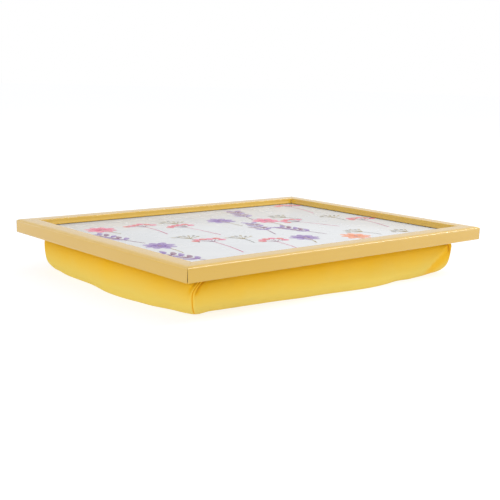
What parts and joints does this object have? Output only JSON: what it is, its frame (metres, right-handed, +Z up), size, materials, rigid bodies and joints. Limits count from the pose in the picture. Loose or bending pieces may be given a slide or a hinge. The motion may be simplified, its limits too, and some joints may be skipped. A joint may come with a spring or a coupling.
{
  "type": "cushioned lap tray",
  "caption": "Shallow mitred lap tray with a printed panel, held by hook-and-loop pads on a soft bead-filled cushion with a zipped cover.",
  "frame": {"origin": "on the floor, under the middle of the tray", "axes": "+X along the long side to the right, +Y to the back, where the cushion's zip is, +Z up"},
  "size_m": [0.44, 0.33, 0.058],
  "materials": {
    "rail_lacquer": "satin",
    "nail_steel": "satin",
    "printed_melamine": "satin",
    "hardboard": "matte",
    "hook_tape": "matte",
    "loop_tape": "matte",
    "cushion_cloth": "matte",
    "liner_cloth": "matte",
    "bead_filling": "matte",
    "zip_tape": "matte",
    "zip_plastic": "satin",
    "zip_metal": "satin"
  },
  "bodies": {
    "cushion": {"loop_pads": "loop_tape", "cushion_top_panel": "cushion_cloth", "cushion_cover": "cushion_cloth", "inner_liner": "liner_cloth", "bead_fill": "bead_filling", "zip_tapes": "zip_tape", "zip_teeth": "zip_plastic", "zip_stops": "zip_metal"},
    "tray": {"front_rail": "rail_lacquer", "back_rail": "rail_lacquer", "left_rail": "rail_lacquer", "right_rail": "rail_lacquer", "corner_v_nails": "nail_steel", "print_sheet": "printed_melamine", "tray_board": "hardboard", "backing_board": "hardboard", "board_points": "nail_steel", "hook_pads": "hook_tape", "hook_staples": "nail_steel"},
    "zip_slider": {"zip_slider": "zip_metal"},
    "zip_pull": {"zip_pull": "zip_metal"}
  },
  "joints": [
    {"name": "tray_lift", "type": "slide", "parent": "cushion", "child": "tray", "axis": [0, 0, 1], "range_m": [0, 0.1]},
    {"name": "zip_slide", "type": "slide", "parent": "cushion", "child": "zip_slider", "axis": [1, 0, 0], "range_m": [0, 0.234], "deforming": ["zip_teeth"]},
    {"name": "pull_swing", "type": "hinge", "parent": "zip_slider", "child": "zip_pull", "pos_m": [-0.11725, 0.14586, 0.0185], "axis": [0, 0, 1], "range_deg": [0, 170]}
  ]
}
